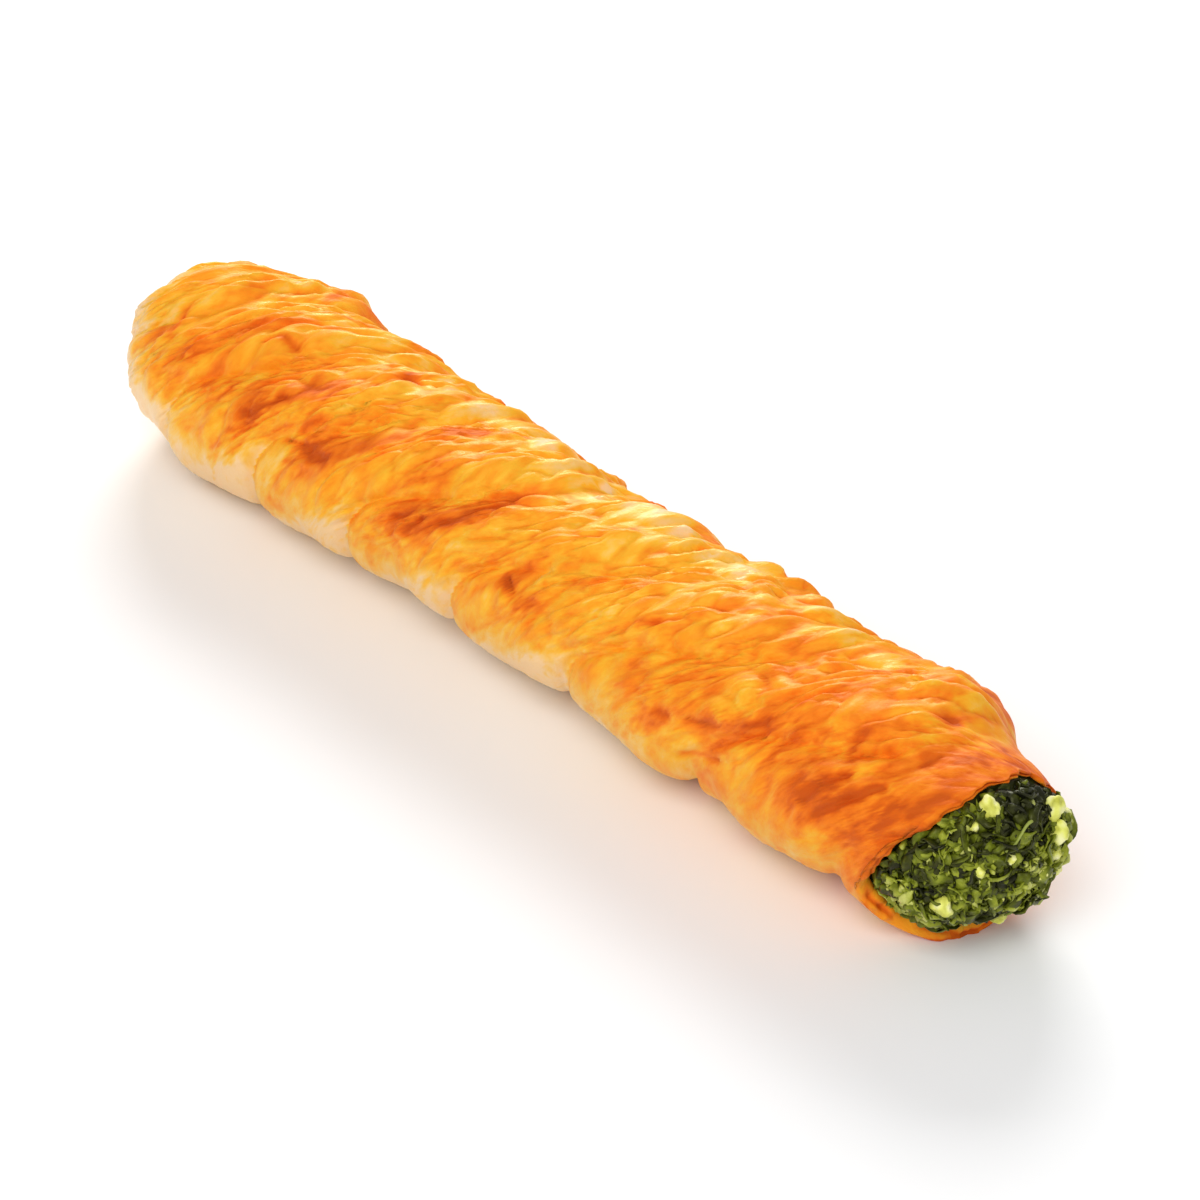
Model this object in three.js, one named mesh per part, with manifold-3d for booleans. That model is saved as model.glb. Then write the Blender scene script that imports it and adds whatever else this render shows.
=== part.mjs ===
// A spinach and cheese borek: thin dough rolled round its filling, twisted by hand so that the skin
// gathers into helical folds, and baked lying flat. One end is tucked shut. At the other end the dough
// stops short and the filling of chopped spinach and crumbled cheese swells out.
//
// Millimetres, +Z up. The roll lies along X with its open end towards +X and its flat side down.
// Angles go round the X axis: 0 is +Y, a quarter turn is up, a half turn is -Y.

import * as THREE from "three";
import { ParametricGeometry } from "three/addons/geometries/ParametricGeometry.js";
import { mergeVertices } from "three/addons/utils/BufferGeometryUtils.js";
import Module from "manifold-3d";

const wasm = await Module();
wasm.setup();

const { clamp, degToRad, lerp, smoothstep, seededRandom } = THREE.MathUtils;
const TURN = 2 * Math.PI;
const QUARTER = TURN / 4;

// The roll as a whole
const ROLL_LENGTH = 250; // tucked end to the tip of the filling
const AXIS_HEIGHT = 19.6; // axis above the flat underside, less than the radius
const WIDTH_SHARE = 1.03; // dough slumps a little as it bakes
const HEIGHT_SHARE = 0.97;
const TUCKED_TIP = -ROLL_LENGTH / 2;
const FILLING_TIP = ROLL_LENGTH / 2;

// The filling
const WAIST_RADIUS = 16; // filling at its thinnest
const WAIST_X = -2;
const SWELL_LENGTH = 95; // waist to either end
const TUCKED_SWELL = 2.2; // thicker than the waist at the tucked end
const OPEN_SWELL = 1.3; // and at the open end
const FILLING_DOME = 23; // length of its rounded open end
const FILLING_TUCK = 18; // length of its rounded tucked end
const OPEN_BLUNTNESS = 2.6; // 2 rounds the open end as an ellipse, more makes it blunter
const TUCK_BLUNTNESS = 2.1; // and the tucked end
const TIP_LEAN = 2; // the open end leans back and up by this much at its tip
const LEAN_ANGLE = degToRad(45);
const LEAN_POWER = 4; // more keeps the lean nearer the tip
const BACK_SLIM = 0.1; // the shoulder of the open end is slimmer by this share on its +Y side
const BACK_SLIM_ANGLE = degToRad(40);
const BACK_SLIM_START = [97, 113]; // where it comes in along X
const BACK_SLIM_END = [120, 126]; // and goes out again

// The dough
const WALL = 5.1; // filling to the top of a fold
const LEAST_WALL_SHARE = 0.38; // what the deepest crease leaves of it
const LIP_THICK = 4.8; // at the open rim, low on the -Y side
const LIP_THIN = 1.2; // and at the opposite side
const LIP_ANGLE = degToRad(225); // where the rim is thickest
const COLLAR = 9; // length of thinned dough along the rim
const COLLAR_SHOULDER = 10; // length over which the wall thins to the collar
const TUCK_DOME = 33; // length of the tucked end
const TUCK_WALL = 7; // dough gathered at the tip of the tucked end
const FIT_GAP = 0.3; // between dough and filling

// The twist: three folds start side by side and run round the roll together
const FOLDS_AROUND = 3;
const FOLD_ANGLE = degToRad(225); // where the fold places below are taken, low on the -Y side
const FIRST_FOLD = -75; // a crease crosses that line here
const FOLD_SPACING = 33; // crease to crease at X = 0
const FOLD_GROWTH = 0.084; // spacing gained for each millimetre towards the open end
const BACK_LAG = 0.4; // creases opposite FOLD_ANGLE lag by this share of a fold at X = 0
const BACK_LAG_GROWTH = 0.0013; // and by this much more for each millimetre towards the open end
const SHOULDER_TURN = 2.2; // creases turn along the roll at its -Y shoulder, by radians of a fold
const SHOULDER_RISE = [degToRad(118), degToRad(160)]; // the shoulder
const SHOULDER_FALL = [degToRad(158), degToRad(240)]; // the side below it, where they run steeply
const CREASE_DEPTH = 2.1; // low on the -Y side
const CREASE_BACK = 0.9; // deeper by this much on the opposite side
const CREASE_TILT = 1; // deeper low on -Y at the open end and high on +Y at the tucked end
const PILLOW_POWER = 0.8; // below 1 makes sharp creases between full folds
const PILLOW_LEAN = 0.45; // folds are fullest past their middle, towards the open end

// Finer gathers along the folds, and the slow swells of hand rolling
const WRINKLES_AROUND = 10;
const WRINKLE_HEIGHT = 0.4;
const WRINKLE_SWAY = 1.4; // how far they stray from the folds
const WRINKLE_SWAY_LENGTH = 13;
const SWELL_HEIGHT = 0.35;
const LONG_SWELL = 21;
const SHORT_SWELL = 11;

// Dents and knuckles of hand twisting, high on the +Y side and low on the -Y side
const KNUCKLE_SPREAD = degToRad(45);
const KNUCKLES = [
  { at: -106, degrees: 60, height: -1.9, length: 16 },
  { at: -86, degrees: 38, height: 1.5, length: 5 },
  { at: -65, degrees: 40, height: -0.8, length: 6 },
  { at: -45, degrees: 52, height: 0.8, length: 6 },
  { at: -23, degrees: 36, height: 1.1, length: 6 },
  { at: 3, degrees: 48, height: -2.3, length: 7 },
  { at: 18, degrees: 46, height: 1.5, length: 6 },
  { at: 32, degrees: 45, height: -1.2, length: 5 },
  { at: 67, degrees: 52, height: -0.7, length: 6 },
  { at: 92, degrees: 34, height: 3, length: 8 },
  { at: -106, degrees: 206, height: -1.7, length: 5 },
  { at: -95, degrees: 216, height: 1.2, length: 6 },
  { at: -58, degrees: 218, height: -1.2, length: 6 },
  { at: -30, degrees: 218, height: -2.4, length: 9 },
  { at: 5, degrees: 216, height: -1.1, length: 8 },
  { at: 47, degrees: 214, height: 1.1, length: 9 },
  { at: 61, degrees: 220, height: -1, length: 5 },
  { at: 80, degrees: 216, height: -1, length: 7 },
];

// The open rim: the dough reaches furthest on top and is torn back on the -Y side
const RIM_X = 116;
const RIM_NOTCH = 14;
const RIM_NOTCH_ANGLE = degToRad(202);
const RIM_NOTCH_SPREAD = degToRad(51);

// How finely the surfaces are divided
const DOUGH_SLICES = 54;
const TUCK_STEPS = 9;
const BARREL_STEPS = 61;
const LIP_STEPS = 4;
const LINING_STEPS = 12;
const CORE_SLICES = 24;
const CORE_STEPS = 10;
const DOME_STEPS = 8;
const POCKET_STEPS = 5;

// The pieces that show at the open end, fused to the filling
const SCATTER_SEED = 11;
const SCATTER_SHARE = 0.86; // how much of the way from tip to shoulder they cover
const GOLDEN_ANGLE = Math.PI * (3 - Math.sqrt(5));
const PIECE_TILT = 0.3; // most that a piece leans out of the surface, in radians
const LEAF_TRIES = 46;
const LEAF_LENGTH = [6, 11];
const LEAF_WIDTH = [4, 7];
const LEAF_THICKNESS = 2;
const LEAF_WAVE = [0.5, 1.1];
const LEAF_RAGGED = 0.22; // how much the width comes and goes along the edge
const LEAF_TEETH = 11;
const LEAF_FIRST = 0; // angle of the first piece on the spiral
const CRUMB_TRIES = 13;
const CRUMB_RADIUS = [1.6, 3];
const CRUMB_KNOBS = 0.16;
const CRUMB_KNOB_WAVE = 4;
const CRUMB_FIRST = 0.3;
const CRUMB_SINK = 0.6;
const STEM_TRIES = 8;
const STEM_LENGTH = [7, 11];
const STEM_RADIUS = 0.7;
const STEM_BOW = [0.6, 1.4];
const STEM_FIRST = 2.3;
const STEM_RISE = 0.3;

// Radius of a rounded end, as a share, at a depth of 0 (shoulder) to 1 (tip)
function domeShare(depth, bluntness) {
  const inside = clamp(depth, 0, 1);
  return Math.pow(1 - Math.pow(inside, bluntness), 1 / bluntness);
}

// Radius of the filling before its ends are rounded
function bodyRadius(x) {
  const swell = x < WAIST_X ? TUCKED_SWELL : OPEN_SWELL;
  return WAIST_RADIUS + swell * ((x - WAIST_X) / SWELL_LENGTH) ** 2;
}

// Radius of the filling with its open end rounded
function fillingRadius(x) {
  const shoulder = FILLING_TIP - FILLING_DOME;
  const dome = domeShare((x - shoulder) / FILLING_DOME, OPEN_BLUNTNESS);
  return bodyRadius(Math.min(x, shoulder)) * dome;
}

// Radius of the pocket that holds the filling
function pocketRadius(x) {
  return fillingRadius(x) + FIT_GAP;
}

// Number of creases passed between FIRST_FOLD and x along the line at FOLD_ANGLE
function foldCount(x) {
  const spacing = FOLD_SPACING + FOLD_GROWTH * x;
  const firstSpacing = FOLD_SPACING + FOLD_GROWTH * FIRST_FOLD;
  return Math.log(spacing / firstSpacing) / FOLD_GROWTH;
}

// How far the creases have turned along the roll
function shoulderTurn(angle) {
  return SHOULDER_TURN * (smoothstep(angle, ...SHOULDER_RISE) - smoothstep(angle, ...SHOULDER_FALL));
}

// How far the twisted skin lies under or over the top of a plain fold
function foldRelief(x, angle) {
  const climb = angle - FOLD_ANGLE;
  const behind = (1 - Math.cos(climb)) / 2;
  const passed = foldCount(x) - behind * (BACK_LAG + BACK_LAG_GROWTH * x);
  const slant = TURN * passed + FOLDS_AROUND * climb;
  const phase = slant + shoulderTurn(angle) - shoulderTurn(FOLD_ANGLE);
  const leaning = phase - PILLOW_LEAN * (1 - Math.cos(phase));
  const pillow = Math.pow(Math.abs(Math.sin(leaning / 2)), PILLOW_POWER);
  const tilt = CREASE_TILT * Math.cos(climb) * (x / FILLING_TIP);
  const crease = CREASE_DEPTH + CREASE_BACK * behind + tilt;
  const sway = WRINKLE_SWAY * Math.sin(x / WRINKLE_SWAY_LENGTH);
  const gathers = Math.sin((WRINKLES_AROUND * slant) / FOLDS_AROUND + sway);
  const topness = (1 + Math.sin(angle)) / 2;
  const swell = Math.sin(x / LONG_SWELL) * Math.cos(angle) + Math.sin(x / SHORT_SWELL + 2 * angle) / 2;
  return crease * (pillow - 1) + WRINKLE_HEIGHT * topness * gathers * pillow + SWELL_HEIGHT * swell;
}

// Angle from one direction round the roll to another, the short way
function turnBetween(from, to) {
  return Math.atan2(Math.sin(to - from), Math.cos(to - from));
}

// How far the dents and knuckles raise the skin
function knuckleRelief(x, angle) {
  return KNUCKLES.reduce((sum, { at, degrees, height, length }) => {
    const along = (x - at) / length;
    const around = turnBetween(degToRad(degrees), angle) / KNUCKLE_SPREAD;
    return sum + height * Math.exp(-along * along - around * around);
  }, 0);
}

// Where the dough ends at the open end
function rimX(angle) {
  const away = turnBetween(RIM_NOTCH_ANGLE, angle);
  return RIM_X - RIM_NOTCH * Math.exp(-((away / RIM_NOTCH_SPREAD) ** 2));
}

// Radius of the dough's skin away from the tucked end: the thinner the wall, the lower its folds
function skinRadius(x, angle) {
  const collar = rimX(angle) - COLLAR;
  const lipWall = lerp(LIP_THIN, LIP_THICK, (1 + Math.cos(angle - LIP_ANGLE)) / 2);
  const wall = lerp(WALL, lipWall, smoothstep(x, collar - COLLAR_SHOULDER, collar));
  const relief = foldRelief(x, angle) + knuckleRelief(x, angle);
  return pocketRadius(x) + wall * Math.max(LEAST_WALL_SHARE, 1 + relief / WALL);
}

// Sets a point from its place along the roll, its angle and its distance from the axis.
// Nothing sinks below the flat underside.
function place(target, x, angle, radius) {
  const lean = TIP_LEAN * smoothstep(x, FILLING_TIP - FILLING_DOME, FILLING_TIP) ** LEAN_POWER;
  const shoulder = smoothstep(x, ...BACK_SLIM_START) * (1 - smoothstep(x, ...BACK_SLIM_END));
  const back = Math.max(0, Math.cos(angle - BACK_SLIM_ANGLE)) ** 2;
  const slimmed = radius * (1 - BACK_SLIM * shoulder * back);
  const y = WIDTH_SHARE * slimmed * Math.cos(angle) + lean * Math.cos(LEAN_ANGLE);
  const z = AXIS_HEIGHT + HEIGHT_SHARE * slimmed * Math.sin(angle) + lean * Math.sin(LEAN_ANGLE);
  return target.set(x, y, Math.max(z, 0));
}

// The dough as one closed skin: out along the roll from the tucked tip, round the lip, and back
// along the lining of the pocket that holds the filling. A spare makes it that much thicker.
function doughGeometry(spare = 0) {
  const outer = TUCK_STEPS + BARREL_STEPS;
  const lined = outer + LIP_STEPS + LINING_STEPS;
  const steps = lined + POCKET_STEPS;
  const shoulder = TUCKED_TIP + TUCK_DOME;
  const pocketShoulder = TUCKED_TIP + TUCK_WALL + FILLING_TUCK;
  const skin = (u, v, target) => {
    const step = v * steps;
    const angle = u * TURN;
    const rim = rimX(angle);
    if (step <= TUCK_STEPS) {
      const depth = Math.sin((1 - step / TUCK_STEPS) * QUARTER);
      const x = shoulder - (TUCK_DOME + spare) * depth;
      place(target, x, angle, (skinRadius(x, angle) + spare) * domeShare(depth, TUCK_BLUNTNESS));
    } else if (step <= outer) {
      const x = lerp(shoulder, rim, (step - TUCK_STEPS) / BARREL_STEPS);
      place(target, x, angle, skinRadius(x, angle) + spare);
    } else if (step <= outer + LIP_STEPS) {
      const bend = ((step - outer) / LIP_STEPS) * 2 * QUARTER;
      const middle = (skinRadius(rim, angle) + pocketRadius(rim)) / 2;
      const half = middle - pocketRadius(rim) + spare;
      place(target, rim + half * Math.sin(bend), angle, middle + half * Math.cos(bend));
    } else if (step <= lined) {
      const back = ((step - outer - LIP_STEPS) / LINING_STEPS) ** 2;
      const x = lerp(rim, pocketShoulder, back);
      place(target, x, angle, pocketRadius(x) - spare);
    } else {
      const bend = ((step - lined) / POCKET_STEPS) * QUARTER;
      const x = pocketShoulder - (FILLING_TUCK - spare) * Math.sin(bend);
      place(target, x, angle, (bodyRadius(x) + FIT_GAP - spare) * Math.cos(bend));
    }
  };
  return new ParametricGeometry(skin, DOUGH_SLICES, steps);
}

// The filling without the pieces that show: a plug from the bottom of the pocket to a domed end
function coreGeometry() {
  const steps = POCKET_STEPS + CORE_STEPS + DOME_STEPS;
  const shoulder = TUCKED_TIP + TUCK_WALL + FILLING_TUCK;
  const domeShoulder = FILLING_TIP - FILLING_DOME;
  const skin = (u, v, target) => {
    const step = v * steps;
    const angle = u * TURN;
    if (step <= POCKET_STEPS) {
      const bend = (1 - step / POCKET_STEPS) * QUARTER;
      const x = shoulder - (FILLING_TUCK - FIT_GAP) * Math.sin(bend);
      place(target, x, angle, bodyRadius(x) * Math.cos(bend));
    } else if (step <= POCKET_STEPS + CORE_STEPS) {
      const x = lerp(shoulder, domeShoulder, (step - POCKET_STEPS) / CORE_STEPS);
      place(target, x, angle, fillingRadius(x));
    } else {
      const bend = ((step - POCKET_STEPS - CORE_STEPS) / DOME_STEPS) * QUARTER;
      const x = domeShoulder + FILLING_DOME * Math.sin(bend);
      place(target, x, angle, fillingRadius(x));
    }
  };
  return new ParametricGeometry(skin, CORE_SLICES, steps);
}

// A closed solid from a geometry, with its shared vertices merged and its flattened triangles left out
function solidOf(geometry) {
  const bare = geometry.clone();
  bare.deleteAttribute("normal");
  bare.deleteAttribute("uv");
  const merged = mergeVertices(bare);
  const corners = merged.index.array;
  const kept = [];
  for (let i = 0; i < corners.length; i += 3) {
    const [a, b, c] = corners.slice(i, i + 3);
    if (a !== b && b !== c && c !== a) kept.push(a, b, c);
  }
  const vertProperties = merged.attributes.position.array;
  const triVerts = new Uint32Array(kept);
  return new wasm.Manifold(new wasm.Mesh({ numProp: 3, vertProperties, triVerts }));
}

// A geometry from a closed solid
function geometryOf(solid) {
  const mesh = solid.getMesh();
  const geometry = new THREE.BufferGeometry();
  geometry.setAttribute("position", new THREE.BufferAttribute(mesh.vertProperties, 3));
  geometry.setIndex(new THREE.BufferAttribute(mesh.triVerts, 1));
  geometry.computeVertexNormals();
  return geometry;
}

// A draw between the two ends of a range
function draw([low, high]) {
  return lerp(low, high, seededRandom());
}

// Changes each point of a geometry by a rule
function bendBy(geometry, rule) {
  const points = geometry.attributes.position;
  const point = new THREE.Vector3();
  for (let i = 0; i < points.count; i++) {
    rule(point.fromBufferAttribute(points, i));
    points.setXYZ(i, point.x, point.y, point.z);
  }
  return geometry;
}

// A scrap of cooked leaf: a thin lens along Y with ragged edges and a wavy face
function leafScrap() {
  const length = draw(LEAF_LENGTH);
  const width = draw(LEAF_WIDTH);
  const wave = draw(LEAF_WAVE);
  const turn = draw([0, TURN]);
  return bendBy(new THREE.SphereGeometry(0.5, 6, 4), (p) => {
    const ragged = 1 + LEAF_RAGGED * Math.sin(LEAF_TEETH * p.y + turn);
    const lift = wave * Math.sin(TURN * p.y + turn) * Math.cos(Math.PI * p.x);
    p.set(p.x * width * ragged, p.y * length, p.z * LEAF_THICKNESS + lift);
  });
}

// A crumb of white cheese: a knobbly lump
function cheeseCrumb() {
  const radius = draw(CRUMB_RADIUS);
  const turn = draw([0, TURN]);
  return bendBy(new THREE.IcosahedronGeometry(1, 1), (p) => {
    const knob = Math.sin(CRUMB_KNOB_WAVE * p.x + turn) * Math.cos(CRUMB_KNOB_WAVE * p.y - turn);
    p.multiplyScalar(radius * (1 + CRUMB_KNOBS * knob));
  });
}

// A piece of leaf stem: a thin rod along Y with a slow bend
function stemPiece() {
  const length = draw(STEM_LENGTH);
  const bow = draw(STEM_BOW);
  return bendBy(new THREE.CapsuleGeometry(STEM_RADIUS, length, 2, 6, 3), (p) => {
    p.x += bow * Math.sin((Math.PI * p.y) / length);
  });
}

// Lays a piece on the filling's dome, face outwards, at a share of the way from tip to shoulder
function layOnDome(geometry, share, angle, rise) {
  const bend = share * QUARTER;
  const x = FILLING_TIP - FILLING_DOME * (1 - Math.cos(bend));
  const seat = place(new THREE.Vector3(), x, angle, fillingRadius(x) + rise);
  const flare = (FILLING_DOME / WAIST_RADIUS) * Math.sin(bend);
  const facing = new THREE.Vector3(Math.cos(bend), flare * Math.cos(angle), flare * Math.sin(angle));
  const lie = new THREE.Quaternion().setFromUnitVectors(new THREE.Vector3(0, 0, 1), facing.normalize());
  geometry.rotateX(draw([-PIECE_TILT, PIECE_TILT]));
  geometry.rotateZ(draw([0, TURN]));
  return geometry.applyQuaternion(lie).translate(seat.x, seat.y, seat.z);
}

// Lays pieces of one kind over the dome on a golden-angle spiral, leaving out any that meets the dough
function scatter(make, tries, rise, firstAngle, dough) {
  const laid = [];
  for (let i = 0; i < tries; i++) {
    const share = SCATTER_SHARE * Math.sqrt((i + 0.5) / tries);
    const piece = solidOf(layOnDome(make(), share, firstAngle + i * GOLDEN_ANGLE, rise));
    if (piece.intersect(dough).isEmpty()) laid.push(piece);
  }
  return laid;
}

// The largest closed surface of a solid: hollows that joining has sealed are filled, loose scraps go
function largestBody(solid) {
  return solid.decompose().reduce((largest, body) => (body.volume() > largest.volume() ? body : largest));
}

// The filling with the pieces that show joined to it
function fillingSolid() {
  seededRandom(SCATTER_SEED);
  const dough = solidOf(doughGeometry(FIT_GAP / 2));
  const pieces = [
    ...scatter(leafScrap, LEAF_TRIES, 0, LEAF_FIRST, dough),
    ...scatter(cheeseCrumb, CRUMB_TRIES, -CRUMB_SINK, CRUMB_FIRST, dough),
    ...scatter(stemPiece, STEM_TRIES, STEM_RISE, STEM_FIRST, dough),
  ];
  return largestBody(pieces.reduce((whole, piece) => whole.add(piece), solidOf(coreGeometry())));
}

// A named piece of the borek
function pieceMesh(name, solid, color, roughness) {
  const material = new THREE.MeshStandardMaterial({ color, roughness, metalness: 0 });
  const mesh = new THREE.Mesh(geometryOf(solid), material);
  mesh.name = name;
  return mesh;
}

const borek = new THREE.Group();
borek.add(pieceMesh("pastry", solidOf(doughGeometry()), 0xf0952e, 0.45));
borek.add(pieceMesh("filling", fillingSolid(), 0x4c5c22, 0.55));

// The origin is under the middle of the roll, on its flat side
const extent = new THREE.Box3().setFromObject(borek);
const middle = extent.getCenter(new THREE.Vector3());
borek.position.set(-middle.x, -middle.y, -extent.min.z);

export default borek;
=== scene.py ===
import math
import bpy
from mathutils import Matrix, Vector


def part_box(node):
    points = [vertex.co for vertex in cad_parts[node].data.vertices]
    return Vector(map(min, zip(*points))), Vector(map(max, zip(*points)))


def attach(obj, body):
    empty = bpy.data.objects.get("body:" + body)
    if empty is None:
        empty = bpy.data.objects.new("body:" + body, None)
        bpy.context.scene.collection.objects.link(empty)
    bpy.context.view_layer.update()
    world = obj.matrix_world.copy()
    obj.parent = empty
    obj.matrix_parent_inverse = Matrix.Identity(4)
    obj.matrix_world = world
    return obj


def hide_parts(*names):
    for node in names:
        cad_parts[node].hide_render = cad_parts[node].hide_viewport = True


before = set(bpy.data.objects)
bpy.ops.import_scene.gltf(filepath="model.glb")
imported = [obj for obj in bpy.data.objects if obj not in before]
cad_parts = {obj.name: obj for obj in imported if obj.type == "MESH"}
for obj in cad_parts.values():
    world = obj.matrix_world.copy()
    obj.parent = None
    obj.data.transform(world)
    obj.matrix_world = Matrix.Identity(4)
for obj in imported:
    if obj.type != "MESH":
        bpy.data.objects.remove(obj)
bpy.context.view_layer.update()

from types import SimpleNamespace

import bpy
import numpy as np
from mathutils import Vector, noise

# Lengths are in millimetres along the roll and round it. A pair is where a change starts and ends, or the
# least and the most of something. A GRAIN is the strength, size and seed of a random pattern.
MM = 0.001
GRAIN_HEIGHT = 1.4
SEED_STRIDE = 17.31

# Sizes of the roll
AXIS_HEIGHT = 19.6
WIDTH_SHARE = 1.03
HEIGHT_SHARE = 0.97
TUCKED_TIP = -125
FILLING_TIP = 125
AXIS_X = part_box("pastry")[0].x / MM - TUCKED_TIP
AXIS_Y = -0.91
WAIST_RADIUS = 16
WAIST_X = -2
SWELL_LENGTH = 95
TUCKED_SWELL = 2.2
OPEN_SWELL = 1.3
FILLING_DOME = 23
FILLING_SHOULDER = FILLING_TIP - FILLING_DOME
FILLING_TUCK = 18
OPEN_BLUNTNESS = 2.6
TUCK_BLUNTNESS = 2.1
TIP_LEAN = 2
LEAN_ANGLE = math.radians(45)
LEAN_POWER = 4
BACK_SLIM = 0.1
BACK_SLIM_ANGLE = math.radians(40)
BACK_SLIM_START = (97, 113)
BACK_SLIM_END = (120, 126)

# The dough wall, its rim and the two layers of its lip
WALL = 5.1
LEAST_WALL_SHARE = 0.38
LIP_THICK = 4.8
LIP_THIN = 1.2
LIP_ANGLE = math.radians(225)
COLLAR = 9
COLLAR_SHOULDER = 10
TUCK_DOME = 33
TUCK_WALL = 7
FIT_GAP = 0.3
RIM_X = 116
RIM_NOTCH = 14
RIM_NOTCH_ANGLE = math.radians(202)
RIM_NOTCH_SPREAD = math.radians(51)
RIM_GRAINS = ((1.1, 6, 7), (0.5, 2.2, 9))
LIP_BULGE = 0.7
LIP_GRAIN = (0.25, 1.8, 24)
LIP_SEAM = 0.5
LIP_SEAM_WIDTH = 0.08
LIP_SEAM_DEPTH = 0.7
LIP_SEAM_STRAY_GRAIN = (0.14, 7, 22)
LIP_SEAM_SHOWN_GRAIN = (1, 9, 23)
LIP_SEAM_SHOWN = (-0.5, 0.1)

# The folds that wind round the roll
FOLDS_AROUND = 3
FOLD_ANGLE = math.radians(225)
FIRST_FOLD = -75
FOLD_SPACING = 33
FOLD_GROWTH = 0.084
BACK_LAG = 0.4
BACK_LAG_GROWTH = 0.0013
SHOULDER_TURN = 2.2
SHOULDER_RISE = (118, 160)
SHOULDER_FALL = (158, 240)
CREASE_DEPTH = 2.1
CREASE_BACK = 0.9
CREASE_TILT = 1
PILLOW_POWER = 0.8
PILLOW_LEAN = 0.45
SWELL_HEIGHT = 0.35
LONG_SWELL = 21
SHORT_SWELL = 11
GROOVE_WIDTH = 0.3
GROOVE_DEPTH = 1.1
GROOVE_LEAST = 0.25
LOW_FRONT = math.radians(205)
LOW_FRONT_LIMITS = (0.55, 0.95)
BACK_CREASE = 1.4
BACK_CREASE_WIDTH = 0.6
HIGH_BACK = math.radians(50)
HIGH_BACK_LIMITS = (0.3, 0.9)

# Dents and knuckles of hand twisting: place along the roll, degrees round it, height and half length
KNUCKLES = ((-106, 60, -1.9, 16), (-86, 38, 1.5, 5), (-65, 40, -0.8, 6), (-45, 52, 0.8, 6),
            (-23, 36, 1.1, 6), (3, 48, -2.3, 7), (18, 46, 1.5, 6), (32, 45, -1.2, 5),
            (67, 52, -0.7, 6), (92, 34, 3, 8), (-106, 206, -1.7, 5), (-95, 216, 1.2, 6),
            (-58, 218, -1.2, 6), (-30, 218, -2.4, 9), (5, 216, -1.1, 8), (47, 214, 1.1, 9),
            (61, 220, -1, 5), (80, 216, -1, 7))
KNUCKLE_SPREAD = math.radians(45)

# The dough's own relief: wrinkles that run with the folds but stray from them
MEAN_RADIUS = 20
PLEAT_LAG = 0.5
PLEAT_LAG_GROWTH = -0.002
PLEAT_CLIMB = (0, 1.9)
STRAY_GRAIN = (0.75, 15, 6)
MEAN_BUMP = 0.3
WRINKLE_GRAIN = (1, 6, 1)
WRINKLE_HEIGHT = 1.5
WRINKLE_LINE = 0.10
RUCK_GRAIN = (1, 3.0, 8)
RUCK_HEIGHT = 0.7
RUCK_LINE = 0.12
CRINKLE_GRAIN = (1, 1.5, 4)
CRINKLE_HEIGHT = 0.28
LAYERS_AROUND = 9
LAYER_GRAIN = (1.1, 9, 2)
LAYER_EDGE = (0.86, 1)
LAYER_STEP = 0.7
MEAN_STEP = 0.42
TORN_GRAIN = (1, 8, 3)
TORN_LIMITS = (0, 0.4)
DRY_GRAIN = (1, 10, 5)
DRY_LIMITS = (-0.45, 0.25)
TOP_LIMITS = (-0.35, 0.45)
GATHERED = 0.6
GATHERED_START = (100, 116)
CRUMPLE = 0.4
CRUMPLE_ANGLE = math.radians(75)
CRUMPLE_LIMITS = (0.3, 0.9)
LOW_RELIEF = 0.12
TUCK_PLEATS = 9
TUCK_TWIST = 0.05
TUCK_PLEAT_HEIGHT = 1.8
TUCK_PLEAT_MEAN = 0.8
TUCK_PLEAT_START = (106, 119)
DIMPLES = ((-49.5, 84), (101.5, 83))
DIMPLE_SIZE = 1.8
DIMPLE_DEPTH = 1.6

# Short creases pinched into the dough: place along and degrees round the roll at both ends, and depth.
# The copies are moved that far along and that many degrees round.
PINCHES = ((93, 167, 97, 150, 1.1), (97, 150, 103, 138, 1.1), (92, 148, 95.5, 140, 0.9),
           (89, 161, 90.5, 153, 1), (92, 129, 93.5, 117, 0.8), (94, 131, 97.5, 130, 0.5),
           (-79, 115, -74, 109, 0.8), (-75, 149, -66, 137, 0.8), (-60, 145, -56, 133, 0.8),
           (-62, 155, -50, 148, 0.9), (-103, 120, -101, 139, 0.6), (-97, 148, -93, 137, 0.6),
           (-29, 156, -26, 148, 0.8), (-24, 160, -22, 150, 1.1), (-16, 145, -8, 119, 0.8),
           (-8, 119, -6, 101, 0.6), (2, 152, 5, 157, 1.1), (34, 141, 40, 125, 0.7),
           (48, 164, 52, 166, 0.7), (57, 163, 62, 153, 0.8), (55, 190, 64, 175, 0.6),
           (70, 151, 74, 141, 0.7))
PINCH_COPIES = ((0, 0), (-7, -128))
PINCH_WIDTH = 0.9
PINCH_CUT = 1.2
PINCH_SWELL = 0.4
PINCH_SWELL_WIDTH = 2.6
PINCH_MARK_WIDTH = 1.05
PINCH_SWAY_GRAIN = (1.2, 5, 19)

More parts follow.
